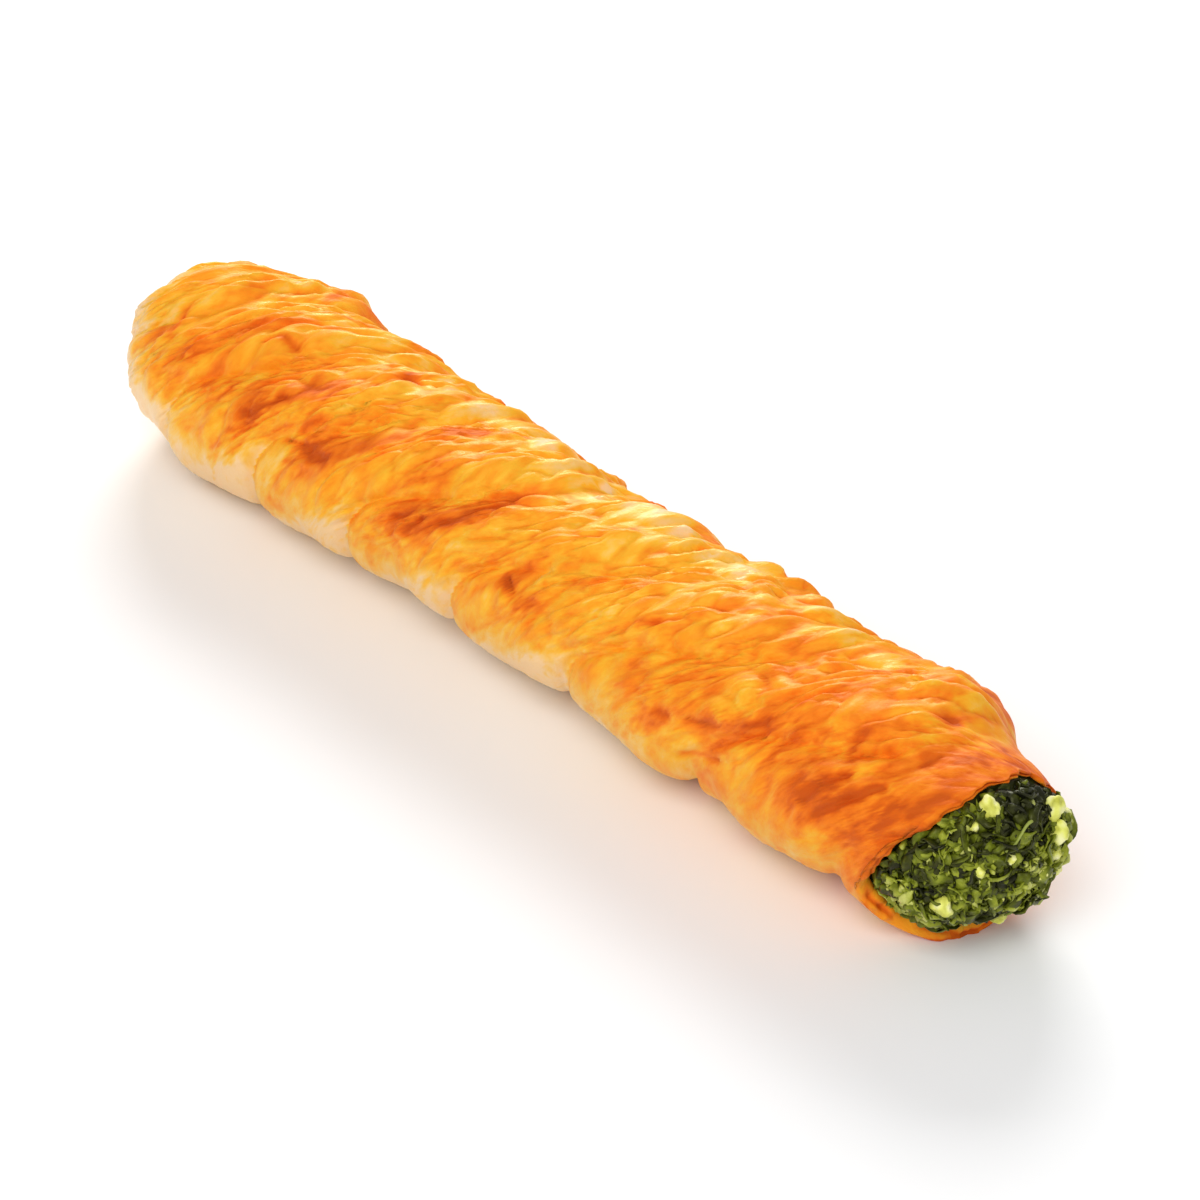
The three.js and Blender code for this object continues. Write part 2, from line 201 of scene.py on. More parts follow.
# How brown the dough bakes: about 0 is pale, 0.4 golden and 1 dark, with painted shade and a painted
# highlight laid into the same value. ALONG_BAKES: change, start and end
GOLDEN = 0.36
BAKE_MOST = 1.2
BAKE_STRETCH = 0.65
BAKE_GRAINS = ((0.14, 9, 11), (0.11, 4.2, 12), (0.05, 1.9, 13))
UPPER_BAKE = 0.10
UPPER_HEIGHTS = (12, 30)
ALONG_BAKES = ((0.04, 30, 55), (0.05, 70, 95), (-0.05, -78, -100))
MIDDLE_PALE = 0.06
MIDDLE_X = 12
MIDDLE_LENGTH = 28
# Darker along the wrinkle valleys: browned crease lines with painted shade in them
LINE_BROWNING_AND_SHADE = 0.12
# Darker along each pinched crease: browned dough and painted shade in the crease
MARK_BROWNING_AND_SHADE = 0.45
# Darker in each small dent: browned dough and painted shade in the dent
DIMPLE_BROWNING_AND_SHADE = 0.85
FLOOR_BAKE = 0.4
FLOOR_HEIGHT = 1.2
FLOOR_FADE = 1
# Painted shade: the bottom of each crease is darker near the foot of the roll, where shade falls
GROOVE_PAINTED_SHADE = 0.6
GROOVE_HEIGHT = 6
GROOVE_FADE = 4

# Toasted patches, and paler ones below 0: place along the roll, degrees round it and strength
PATCHES = ((-95, 142, 1), (-76, 149, 0.7), (-69, 143, 0.9), (-60, 116, 1), (-52, 146, 1), (-45, 138, 1),
           (-28, 158, 0.8), (-21, 153, 0.8), (-27, 88, 1.3), (-12, 133, 1), (-8, 113, 1), (4, 150, 1.3),
           (10, 156, 1), (20, 118, 0.4), (49, 171, 1.2), (71, 146, 1.4), (80, 141, 1), (89, 148, 0.8),
           (92, 156, 0.8), (97, 149, 0.7), (100, 168, 0.8), (108, 141, 1), (112, 64, 1), (104, 110, 0.5),
           (-90, 166, -0.8), (-102, 112, -0.6), (-17, 169, -1), (3, 166, -0.5), (24, 92, -0.8),
           (54, 120, -0.8), (34, 112, -0.4), (-46, 168, -0.4), (-70, 166, -0.5), (-66, 180, -0.8),
           (-87, 194, -0.8), (88, 195, -0.9), (109, 99, 0.7), (-82, 105, 1.2), (-89, 76, 1.1),
           (-81, 181, 0.6), (-76, 180, 0.6), (-107, 147, 0.8), (-100, 22, 1), (-79, 12, 1), (-58, 24, 1),
           (-33, 10, 1), (-17, 26, 1), (9, 14, 1), (36, 22, 1), (50, 8, 1), (74, 18, 1), (97, 24, 1))
PATCH_LENGTH = 7
PATCH_WIDTH = 4.6
PATCH_LEAST = -1
PATCH_MOST = 1.2
SCORCH_BAKE = 0.30
SCORCH_LIMITS = (0.15, 1.2)
SCORCH_GRAINS = ((0.4, 6, 14), (0.4, 2.2, 26))
PATCH_PALE = 0.14

# Toasted edges of the folds: degrees round the roll, shares of a fold, and where they end along the roll
SHOULDERS = (148, 18)
SHOULDER_SPREAD = 14
EDGE_SCORCH = 0.6
EDGE_RISE = (0, 0.1)
EDGE_FALL = (0.15, 0.5)
EDGE_END = (-25, 0)

# The pale low side starts lower at the head of each fold than at its tail, in degrees round the roll
TAIL_START = 150
TAIL_DROP = 66
TAIL_POWER = 0.85
TAIL_FADE = 28
HEAD_START = 184
HEAD_DROP = 240
HEAD_FADE = 20
RAGGED_GRAIN = (9, 5, 15)
UNDERSIDE = 270
UNDERSIDE_FADE = 20
TUCKED_START = (106, 116)
FOOT_HEIGHT = 9
FOOT_FADE = 8
LOW_PALE = 0.37
LOW_EVEN = 0.92
LOW_GRAIN = (0.22, 3, 18)
LOW_PALE_END = (-5, 65)
LOW_PALE_LOSS = 0.8

# The pale tip, the pale side next to it, and a painted highlight on the ridge of the roll
TIP_PALE = 0.42
TIP_SIDE = 0.6
TIP_LIMITS = (110, 130)
FAR_SIDE_PALE = 0.22
FAR_SIDE_ALONG = (66, 84)
FAR_SIDE_OUT = (14, 20)
FAR_SIDE_HEIGHT = 22
FAR_SIDE_FADE = 8
# Painted highlight: the ridge of the roll is made paler in broken patches, where light glints on it
RIDGE_PAINTED_HIGHLIGHT = 0.31
RIDGE_DEGREES = 65
RIDGE_SPREAD = 19
RIDGE_GRAINS = ((1, 6, 16), (0.55, 2.2, 17))
RIDGE_LIMITS = (-0.4, 0.5)
RIDGE_START = (-105, -90)

# The browned rim and lip, and painted shade in the seam of the lip
RIM_BAND = 8
RIM_BAKE = 0.24
RIM_BAKE_GRAIN = (0.16, 3.5, 20)
RIM_HEIGHTS = (2, 20)
RIM_LOW_BAKE = 0.08
RIM_LOW_HEIGHT = 12
RIM_LOW_FADE = 8
# Painted shade: darker in the groove between the two layers of dough in the lip
LIP_SEAM_PAINTED_SHADE = 0.34
LIP_PALE = 0.12
LIP_PALE_LIMITS = (0.45, 0.75)

# How finely the dough and the core of the filling are made
DOUGH_AROUND = 264
TUCK_STEPS = 44
BARREL_STEPS = 270
LIP_STEPS = 22
LINING_STEPS = 16
POCKET_STEPS = 5
TWIST_ROUNDS = 40
RIM_ROUNDS = 4
CORE_AROUND = 140
CORE_TUCK_STEPS = 6
CORE_RUN_STEPS = 12
CORE_DOME_STEPS = 70
SEAM_REACH = 0.001 * MM

# The core of the filling and its clumps, which sag low down but spill at the front
CLUMP_GRAINS = ((2.2, 5.5, 21), (0.8, 2.4, 22))
MEAN_CLUMP = 0.4
CLUMP_SINK = 1.1
LOW_SINK = 0.6
LOW_SPILL = 1.4
LOW_DEPTHS = (0, 12)
FRONT_DEPTHS = (4, 12)
CORE_SINK = 0.4
CORE_CENTRE = FILLING_SHOULDER - 6
CORE_LUMPS = (-1, 3)
# Painted shade: the core is the same spinach coloured near black, so the gaps between the scraps over it
# look shaded
CORE_PAINTED_SHADE = 0.12
CORE_TONE_GRAIN = (0.12, 2.5, 25)
SLOPE_REACH = 0.02
AREA_STEPS = 300
SPARE_PLACES = 3

# Scraps of chopped leaf
LEAVES = 1400
LEAF_SEED = 5
LEAF_ACROSS = 6
LEAF_ALONG = 5
LEAF_LENGTH = (1.7, 6.0)
LEAF_WIDTH = (1.2, 3.6)
LEAF_SIZE_POWER = 1.7
LEAF_NARROWING = (0.6, 1)
LEAF_THICK = 0.3
LEAF_CLEAR = 1.6
LEAF_CLUMPS = 4
LEAF_LOOSE = 1.1
LEAF_TILT = 0.75
LEAF_TURNS = 6
LEAF_ROUNDING = 0.22
LEAF_END_WAVE = 0.16
LEAF_END_WAVES = 3
LEAF_SIDE_WAVE = 0.22
LEAF_SIDE_WAVES = 2.6
LEAF_WAVE_HEIGHT = (0.2, 0.65)
LEAF_WAVES_ALONG = (2, 4.5)
LEAF_WAVES_ACROSS = (2, 4)
LEAF_ACROSS_SHARE = 0.7
LEAF_WAVE_SLANT = 1.2
LEAF_CUP = (-0.2, 0.9)
LEAF_CUP_MEAN = 0.6
LEAF_TONE = 0.58
LEAF_TONE_LIMITS = (0.02, 0.95)
LEAF_PATCH_GRAIN = (0.16, 6, 31)
# Painted light and shade: scraps on raised clumps are lighter, scraps in the hollows between clumps darker
LEAF_CLUMP_LIGHT_AND_SHADE = 0.16
LEAF_TONE_SPREAD = 0.20
# Painted light and shade on each scrap: lighter where its crumples rise, darker on its back side
LEAF_PAINTED_LIGHT_AND_SHADE = 0.22
LEAF_BACK_SHADE = 0.5

# Lighter and darker leaf: degrees round the open end, distance from its axis, reach and change of tone
LEAF_SHADES = ((70, 12.5, 5.5, -0.6), (187, 15.4, 4, -0.05), (171, 18, 5, -0.25), (100, 11, 3, -0.25),
               (138, 10.6, 6, -0.15), (148, 13.8, 4, 0.25), (200, 13, 5, 0.1), (240, 13, 4, -0.1),
               (34, 7, 3.5, 0.3), (325, 5.5, 4.5, 0.35), (240, 6.4, 4, 0.2))

# Strands of leaf stalk
STEMS = 13
STEM_SEED = 9
STEM_CLEAR = 2
STEM_LENGTH = (5, 11)
STEM_RADIUS = 0.3
STEM_THICKNESS = (0.7, 1.3)
STEM_TAPER = 1.02
STEM_TAPER_POWER = 6
STEM_SIDES = 7
STEM_STEPS = 10
STEM_LIFT = (0.9, 1.4)
STEM_TILT = 0.25
STEM_SWAY = (-2.6, 2.6)
STEM_CURL = 2.2
STEM_BOW = (0.2, 1.5)
STEM_TONE = (0.35, 0.85)

# Crumbs of cheese: degrees round the open end, distance from its axis and radius
CHEESE_LUMPS = ((46, 10.8, 2.3), (28, 7.2, 2.3), (112, 14, 2.0), (344, 6, 1.5), (296, 4, 1.3),
                (200, 15, 2.0), (262, 14, 1.9), (150, 6.5, 1.1), (170, 11, 1.0), (80, 8, 0.9),
                (225, 9, 1.0), (130, 14, 1.0), (10, 13, 1.6), (320, 12, 1.7))
CHEESE_SEED = 3
CHEESE_LIFT = 0.45
CHEESE_LARGE = 1.5
CHEESE_FINE = 4
CHEESE_COARSE = 3
CHEESE_LUMP_HEIGHT = 0.28
CHEESE_LUMP_SIZE = 0.9
CHEESE_KNOB_HEIGHT = 0.12
CHEESE_KNOB_SIZE = 0.5
CHEESE_PIT_DEPTH = 0.07
CHEESE_PIT_SIZE = 0.2
CHEESE_SQUASH = (0.75, 1.25)
CHEESE_TONE = 0.5
CHEESE_TONE_SIZE = 0.8

# Looks: colours along a value from low to high, finishes that don't vary, and roughness from pale to dark
CRUST_TONES = (
    (0.02, (0.93, 0.62, 0.32)),
    (0.16, (0.94, 0.55, 0.13)),
    (0.30, (0.95, 0.47, 0.030)),
    (0.46, (0.95, 0.34, 0.015)),
    (0.64, (0.91, 0.21, 0.010)),
    (0.82, (0.77, 0.125, 0.005)),
    (1.00, (0.60, 0.078, 0.005)),
)
LEAF_TONES = (
    (0.0, (0.008, 0.009, 0.004)),
    (0.3, (0.036, 0.042, 0.003)),
    (0.55, (0.14, 0.17, 0.008)),
    (0.8, (0.36, 0.40, 0.035)),
    (1.0, (0.60, 0.62, 0.16)),
)
STEM_TONES = ((0.3, (0.20, 0.26, 0.03)), (0.7, (0.42, 0.46, 0.11)), (1.0, (0.62, 0.62, 0.24)))
CHEESE_TONES = ((0.1, (0.56, 0.56, 0.07)), (0.5, (0.85, 0.86, 0.19)), (0.9, (0.93, 0.91, 0.46)))
CRUST_FINISH = {
    "Specular IOR Level": 0.5,
    "Specular Tint": (1.0, 0.78, 0.17, 1),
    "Subsurface Weight": 0.12,
    "Subsurface Radius": (1.0, 0.45, 0.15),
    "Subsurface Scale": 2 * MM,
}
CRUST_ROUGHNESS = (0.38, 0.6)
MOIST_FINISH = {"Specular IOR Level": 0.4, "Specular Tint": (0.85, 0.85, 0.45, 1)}
LEAF_ROUGHNESS = 0.38
STEM_ROUGHNESS = 0.35
CHEESE_ROUGHNESS = 0.5
FLOOR_FINISH = {"Base Color": (0.93, 0.93, 0.93, 1), "Roughness": 0.9, "Specular IOR Level": 0.1}
PATTERN_MIDDLE = (0.3, 0.7)
BUMP_HEIGHT = 0.25 * MM
BUMP_STRENGTH = 0.5

# The stage, in metres and degrees. Softboxes: name, turn, rise, distance, size and power
AIM = MM * Vector((8.8, -1.45, 19.1))
CAMERA_TURN = 48.3
CAMERA_RISE = 35
CAMERA_DISTANCE = 1.1
SENSOR_WIDTH = 36
LENS = 172.2
FLOOR_SIZE = 6
STUDIO_LIGHT = {"Color": (1, 1, 1, 1), "Strength": 0.42}
SOFTBOXES = (("key", 226, 32, 1.3, (0.6, 0.4), 12), ("front", 30, 50, 1.6, (1.2, 1.2), 16))


def smoothstep(value, start, end):
    share = np.clip((value - start) / (end - start), 0, 1)
    return share * share * (3 - 2 * share)


def below(value, limit, fade):
    """0 above the limit, rising to 1 that far below it."""
    return smoothstep(limit - value, 0, fade)


def bell(value):
    """1 at 0, fading away on both sides within about 2."""
    return np.exp(-value ** 2)


def eased(share):
    """A share of the way that starts fast and ends slowly."""
    return np.sin(share * math.pi / 2)


def part_done(step, start, count):
    """The share of a stretch of that many steps that is done."""
    return np.clip((step - start) / count, 0, 1)


def wrapped(angle):
    return (angle + math.pi) % (2 * math.pi) - math.pi


def grain(points, size, seed):
    """Smooth random values, about -1 to 1, that change over that size."""
    moved = points / size + SEED_STRIDE * seed
    return GRAIN_HEIGHT * np.array([noise.noise(point) for point in moved.tolist()])


def mottle(points, *grains):
    """Some grains laid over each other."""
    return sum(strength * grain(points, size, seed) for strength, size, seed in grains)


def dome_share(depth, bluntness):
    return (1 - np.clip(depth, 0, 1) ** bluntness) ** (1 / bluntness)


def body_radius(x):
    swell = np.where(x < WAIST_X, TUCKED_SWELL, OPEN_SWELL)
    return WAIST_RADIUS + swell * ((x - WAIST_X) / SWELL_LENGTH) ** 2


def filling_radius(x):
    share = dome_share((x - FILLING_SHOULDER) / FILLING_DOME, OPEN_BLUNTNESS)
    return body_radius(np.minimum(x, FILLING_SHOULDER)) * share


def fold_count(x):
    """How many folds there are from the first one to x. They lie further apart towards the open end."""
    first = FOLD_SPACING + FOLD_GROWTH * FIRST_FOLD
    return np.log((FOLD_SPACING + FOLD_GROWTH * x) / first) / FOLD_GROWTH


def backness(climb):
    """0 where the folds start, low in front, and 1 straight across the roll from there."""
    return (1 - np.cos(climb)) / 2


def wind(x, angle, lag, behind):
    """How far round the twist a place is: it grows by a full turn from one fold to the next."""
    return 2 * math.pi * (fold_count(x) - behind * lag) + FOLDS_AROUND * (angle - FOLD_ANGLE)


def shoulder_turn(angle):
    degrees = np.degrees(angle) % 360
    return SHOULDER_TURN * (smoothstep(degrees, *SHOULDER_RISE) - smoothstep(degrees, *SHOULDER_FALL))


def fold_phase(x, angle):
    """The folds run steeply round the -Y side and turn along the roll at its shoulder."""
    turned = shoulder_turn(angle) - shoulder_turn(FOLD_ANGLE)
    return wind(x, angle, BACK_LAG + BACK_LAG_GROWTH * x, backness(angle - FOLD_ANGLE)) + turned


def pleat_phase(x, angle):
    """The finer wrinkles run slantwise all the way round, and steeper under the roll."""
    climb = wrapped(angle - FOLD_ANGLE)
    behind = np.where(climb < 0, backness(climb), smoothstep(climb, *PLEAT_CLIMB))
    return wind(x, angle, PLEAT_LAG + PLEAT_LAG_GROWTH * x, behind)


def pleat_angle(x, share):
    """The angle round the roll, at x, of the pleat that starts that share of a turn round it."""
    count = fold_count(x)
    lag = PLEAT_LAG + PLEAT_LAG_GROWTH * x
    climb = 2 * math.pi * share
    for _ in range(TWIST_ROUNDS):
        climb = 2 * math.pi * (share - (count - backness(climb) * lag) / FOLDS_AROUND)
    return FOLD_ANGLE + climb


def along_folds(x, phase, stretch=1):
    """Places on the roll as if it were not twisted, drawn out along the folds."""
    turn = phase / FOLDS_AROUND
    return np.stack([MEAN_RADIUS * np.cos(turn), MEAN_RADIUS * np.sin(turn), x / stretch], axis=1)


def strayed(x, phase):
    """The phase of wrinkles that stray from the folds."""
    return phase + mottle(along_folds(x, phase), STRAY_GRAIN)


def ring(angle):
    """Places round the roll, wherever they lie along it."""
    return np.stack([MEAN_RADIUS * np.cos(angle), MEAN_RADIUS * np.sin(angle), 0 * angle], axis=1)


def groove(phase):
    """1 in the bottom of a crease between two folds, 0 away from it."""
    return bell(wrapped(phase) / GROOVE_WIDTH)


def fold_relief(x, angle, phase):
    """Pillows between creases, deeper low in front, and one more crease in each high on the back."""
    climb = angle - FOLD_ANGLE
    leaning = phase - PILLOW_LEAN * (1 - np.cos(phase))
    pillow = np.abs(np.sin(leaning / 2)) ** PILLOW_POWER
    crease = CREASE_DEPTH + CREASE_BACK * backness(climb) + CREASE_TILT * np.cos(climb) * (x / FILLING_TIP)
    swell = np.sin(x / LONG_SWELL) * np.cos(angle) + np.sin(x / SHORT_SWELL + 2 * angle) / 2
    low_front = smoothstep(np.cos(angle - LOW_FRONT), *LOW_FRONT_LIMITS)
    high_back = smoothstep(np.cos(angle - HIGH_BACK), *HIGH_BACK_LIMITS)
    relief = crease * (pillow - 1) + SWELL_HEIGHT * swell
    relief -= GROOVE_DEPTH * groove(phase) * (GROOVE_LEAST + (1 - GROOVE_LEAST) * low_front)
    return relief - BACK_CREASE * high_back * bell(wrapped(phase - math.pi) / BACK_CREASE_WIDTH)


def knuckle_relief(x, angle):
    total = np.zeros(len(x))
    for at, degrees, height, length in KNUCKLES:
        around = wrapped(angle - math.radians(degrees)) / KNUCKLE_SPREAD
        total += height * bell((x - at) / length) * bell(around)
    return total


def tuck_relief(x, angle):
    """The pleats that gather the dough where the far end is tucked shut."""
    pleats = np.abs(np.sin(TUCK_PLEATS * (angle / 2 + TUCK_TWIST * x)))
    return TUCK_PLEAT_HEIGHT * (np.sqrt(pleats) - TUCK_PLEAT_MEAN) * smoothstep(-x, *TUCK_PLEAT_START)


def dimples(x, angle):
    """1 in the middle of each small dent, 0 away from it."""
    total = np.zeros(len(x))
    for at, degrees in DIMPLES:
        across = MEAN_RADIUS * wrapped(angle - math.radians(degrees))
        total += bell(np.hypot(x - at, across) / DIMPLE_SIZE)
    return total


def pinches(x, angle):
    """The short creases, on the front and moved round to the back: their relief, and 1 along each."""
    places = np.stack([x, MEAN_RADIUS * np.cos(angle), MEAN_RADIUS * np.sin(angle)], axis=1)
    sway = mottle(places, PINCH_SWAY_GRAIN)
    relief = np.zeros(len(x))
    marks = np.zeros(len(x))
    for start_x, start_degrees, end_x, end_degrees, depth in PINCHES:
        along = end_x - start_x
        around = MEAN_RADIUS * math.radians(end_degrees - start_degrees)
        for ahead, round_about in PINCH_COPIES:
            at_x = x + sway - start_x - ahead
            at_around = MEAN_RADIUS * wrapped(angle - math.radians(start_degrees + round_about)) + sway
            share = np.clip((at_x * along + at_around * around) / (along ** 2 + around ** 2), 0, 1)
            away = np.hypot(at_x - share * along, at_around - share * around) / PINCH_WIDTH
            relief += depth * (PINCH_SWELL * bell(away / PINCH_SWELL_WIDTH) - PINCH_CUT * bell(away))
            # 1 along each crease, where the colour is darkened: browned dough and painted shade
            marks += depth * bell(away / PINCH_MARK_WIDTH)
    return relief, np.minimum(marks, 1)


def skin_relief(x, angle, phase):
    """Wrinkles, edges of layers and fine crinkles of the dough, and the lines along its wrinkle valleys
    where its colour is darkened: browned crease lines with painted shade in them.
    """
    stray = strayed(x, phase)
    drawn = along_folds(x, stray)
    wrinkles = mottle(drawn, WRINKLE_GRAIN)
    rucks = mottle(drawn, RUCK_GRAIN)
    crinkles = mottle(drawn, CRINKLE_GRAIN)
    layer = (LAYERS_AROUND * stray / (2 * math.pi * FOLDS_AROUND) + mottle(drawn, LAYER_GRAIN)) % 1
    steps = layer * (1 - smoothstep(layer, *LAYER_EDGE))
    torn = smoothstep(mottle(drawn, TORN_GRAIN), *TORN_LIMITS)
    dry = smoothstep(mottle(drawn, DRY_GRAIN), *DRY_LIMITS)
    gathered = GATHERED * smoothstep(-x, *GATHERED_START)
    topness = np.maximum(smoothstep(np.sin(angle), *TOP_LIMITS), gathered)
    crumpled = 1 + CRUMPLE * smoothstep(np.cos(angle - CRUMPLE_ANGLE), *CRUMPLE_LIMITS)
    relief = WRINKLE_HEIGHT * (np.abs(wrinkles) - MEAN_BUMP)
    relief += RUCK_HEIGHT * dry * (np.abs(rucks) - MEAN_BUMP)
    relief = relief * crumpled + LAYER_STEP * torn * (steps - MEAN_STEP)
    relief += CRINKLE_HEIGHT * dry * (np.abs(crinkles) - MEAN_BUMP)
    # Lines along the wrinkle valleys, where the colour is darkened: browned crease lines and painted shade
    lines = bell(wrinkles / WRINKLE_LINE) + dry * bell(rucks / RUCK_LINE)
    return (LOW_RELIEF + (1 - LOW_RELIEF) * topness) * relief, topness * lines


def rim_x(angle):
    notch = RIM_NOTCH * bell(wrapped(angle - RIM_NOTCH_ANGLE) / RIM_NOTCH_SPREAD)
    return RIM_X - notch + mottle(ring(angle), *RIM_GRAINS)


def skin_radius(x, angle, rim, relief):
    collar = rim - COLLAR
    lip_wall = LIP_THIN + (LIP_THICK - LIP_THIN) * (1 + np.cos(angle - LIP_ANGLE)) / 2
    wall = WALL + (lip_wall - WALL) * smoothstep(x, collar - COLLAR_SHOULDER, collar)
    return filling_radius(x) + FIT_GAP + wall * np.maximum(LEAST_WALL_SHARE, 1 + relief / WALL)


def lip_seam(angle, lip):
    """1 in the groove between the two layers of dough that show in the lip, 0 away from it."""
    places = ring(angle)
    strays = LIP_SEAM + mottle(places, LIP_SEAM_STRAY_GRAIN)
    shown = smoothstep(mottle(places, LIP_SEAM_SHOWN_GRAIN), *LIP_SEAM_SHOWN)
    return shown * bell((lip - strays) / LIP_SEAM_WIDTH)


def place(x, angle, radius):
    """Points in the shared frame, in metres."""
    lean = TIP_LEAN * smoothstep(x, FILLING_SHOULDER, FILLING_TIP) ** LEAN_POWER
    shoulder = smoothstep(x, *BACK_SLIM_START) * (1 - smoothstep(x, *BACK_SLIM_END))
    back = np.maximum(0, np.cos(angle - BACK_SLIM_ANGLE)) ** 2
    slimmed = radius * (1 - BACK_SLIM * shoulder * back)
    y = AXIS_Y + WIDTH_SHARE * slimmed * np.cos(angle) + lean * math.cos(LEAN_ANGLE)
    z = AXIS_HEIGHT + HEIGHT_SHARE * slimmed * np.sin(angle) + lean * math.sin(LEAN_ANGLE)
    return MM * np.stack([AXIS_X + x, y, np.maximum(z, 0)], axis=1)


def pick(*pieces):
    """Selects those pieces alone and makes the first of them active."""
    bpy.ops.object.select_all(action="DESELECT")
    for piece in pieces:
        piece.select_set(True)
    if pieces:
        bpy.context.view_layer.objects.active = pieces[0]


def call_it(piece, name):
    piece.name = name
    piece.data.name = name


def corners(piece):
    """Where the piece's corners are, one row each."""
    flat = np.zeros(3 * len(piece.data.vertices))
    piece.data.vertices.foreach_get("co", flat)
    return flat.reshape(-1, 3)


def move_corners(piece, points):
    """Puts the piece's corners at those points, in metres."""
    piece.data.vertices.foreach_set("co", points.astype(np.float32).ravel())


def new_sheet(name, around, along):
    """A flat sheet that is then rolled up, with the share of the way round and along at each corner."""
    pick()
    bpy.ops.mesh.primitive_grid_add(x_subdivisions=around, y_subdivisions=along, size=1)
    sheet = bpy.context.object
    call_it(sheet, name)
    flat = corners(sheet)
    return sheet, flat[:, 0] + 0.5, flat[:, 1] + 0.5


def give(piece, name, values):
    """Keeps a value at each corner of the piece for its material."""
    kind, field = ("FLOAT", "value") if values.ndim == 1 else ("FLOAT_VECTOR", "vector")
    kept = piece.data.attributes.new(name, kind, "POINT")
    kept.data.foreach_set(field, values.astype(np.float32).ravel())


def face_outwards(merged):
    """Turns the active piece's faces outwards and smooths it, with corners that meet merged if asked."""
    bpy.ops.object.mode_set(mode="EDIT")
    bpy.ops.mesh.select_all(action="SELECT")
    if merged:
        bpy.ops.mesh.remove_doubles(threshold=SEAM_REACH)
    bpy.ops.mesh.normals_make_consistent(inside=False)
    bpy.ops.object.mode_set(mode="OBJECT")
    bpy.ops.object.shade_smooth()


def patches(x, phase):
    """Toasted patches above 0 and paler ones below it, drawn out along the folds."""
    total = np.zeros(len(x))
    for spot_x, spot_degrees, strength in PATCHES:
        spot_phase = pleat_phase(spot_x, math.radians(spot_degrees))
        across = MEAN_RADIUS * wrapped((phase - spot_phase) / FOLDS_AROUND)
        total += strength * bell(across / PATCH_WIDTH) * bell((x - spot_x) / PATCH_LENGTH)
    return np.clip(total, PATCH_LEAST, PATCH_MOST)


def toasting(skin, drawn, share):
    """Toasted patches and edges of folds above 0, and paler patches below it."""
    shoulders = sum(bell((skin.degrees - middle) / SHOULDER_SPREAD) for middle in SHOULDERS)
    edge = smoothstep(share, *EDGE_RISE) * (1 - smoothstep(share, *EDGE_FALL)) * shoulders
    spots = patches(skin.x, skin.slant)
    scorch = np.maximum(spots, 0) + EDGE_SCORCH * edge * (1 - smoothstep(skin.x, *EDGE_END))
    scorch += mottle(drawn, *SCORCH_GRAINS)
    return SCORCH_BAKE * smoothstep(scorch, *SCORCH_LIMITS) + PATCH_PALE * np.minimum(spots, 0)


def low_paleness(skin, drawn, share):
    """How much paler the dough stays low on its side and at its foot, with a ragged edge."""
    ragged = mottle(drawn, RAGGED_GRAIN)
    tail = skin.degrees - TAIL_START - TAIL_DROP * (1 - share) ** TAIL_POWER - ragged
    head = skin.degrees - HEAD_START - HEAD_DROP * share - ragged
    low = np.maximum(smoothstep(tail, 0, TAIL_FADE), smoothstep(head, 0, HEAD_FADE))
    low *= below(skin.degrees, UNDERSIDE, UNDERSIDE_FADE) * (1 - smoothstep(-skin.x, *TUCKED_START))
    low = np.maximum(low, below(skin.height, FOOT_HEIGHT, FOOT_FADE))
    patchy = LOW_EVEN + mottle(drawn, LOW_GRAIN)
    return LOW_PALE * low * patchy * (1 - LOW_PALE_LOSS * smoothstep(skin.x, *LOW_PALE_END))


def end_paleness(skin):
    """How much paler the tucked tip and the low side next to it stay."""
    tip = smoothstep(-skin.x - TIP_SIDE * skin.side, *TIP_LIMITS)
    far_side = smoothstep(-skin.x, *FAR_SIDE_ALONG) * smoothstep(-skin.side, *FAR_SIDE_OUT)
    return TIP_PALE * tip + FAR_SIDE_PALE * far_side * below(skin.height, FAR_SIDE_HEIGHT, FAR_SIDE_FADE)


def painted_ridge_highlight(skin, drawn):
    """Painted highlight: how much paler the top of the roll is made behind its middle, in broken patches.
    """
    broken = smoothstep(mottle(drawn, *RIDGE_GRAINS), *RIDGE_LIMITS)
    ridge = bell((skin.degrees - RIDGE_DEGREES) / RIDGE_SPREAD)
    return RIDGE_PAINTED_HIGHLIGHT * ridge * broken * smoothstep(skin.x, *RIDGE_START)


def rim_browning_and_seam_shade(skin, drawn):
    """How much browner the dough is at its rim, and the painted shade that darkens the seam of its lip."""
    at_rim = smoothstep(skin.x, skin.rim - RIM_BAND, skin.rim)
    high = (RIM_BAKE + mottle(drawn, RIM_BAKE_GRAIN)) * smoothstep(skin.height, *RIM_HEIGHTS)
    low = RIM_LOW_BAKE * below(skin.height, RIM_LOW_HEIGHT, RIM_LOW_FADE)
    lip = LIP_SEAM_PAINTED_SHADE * skin.seam - LIP_PALE * smoothstep(skin.lip, *LIP_PALE_LIMITS)
    return at_rim * (high + low) + lip


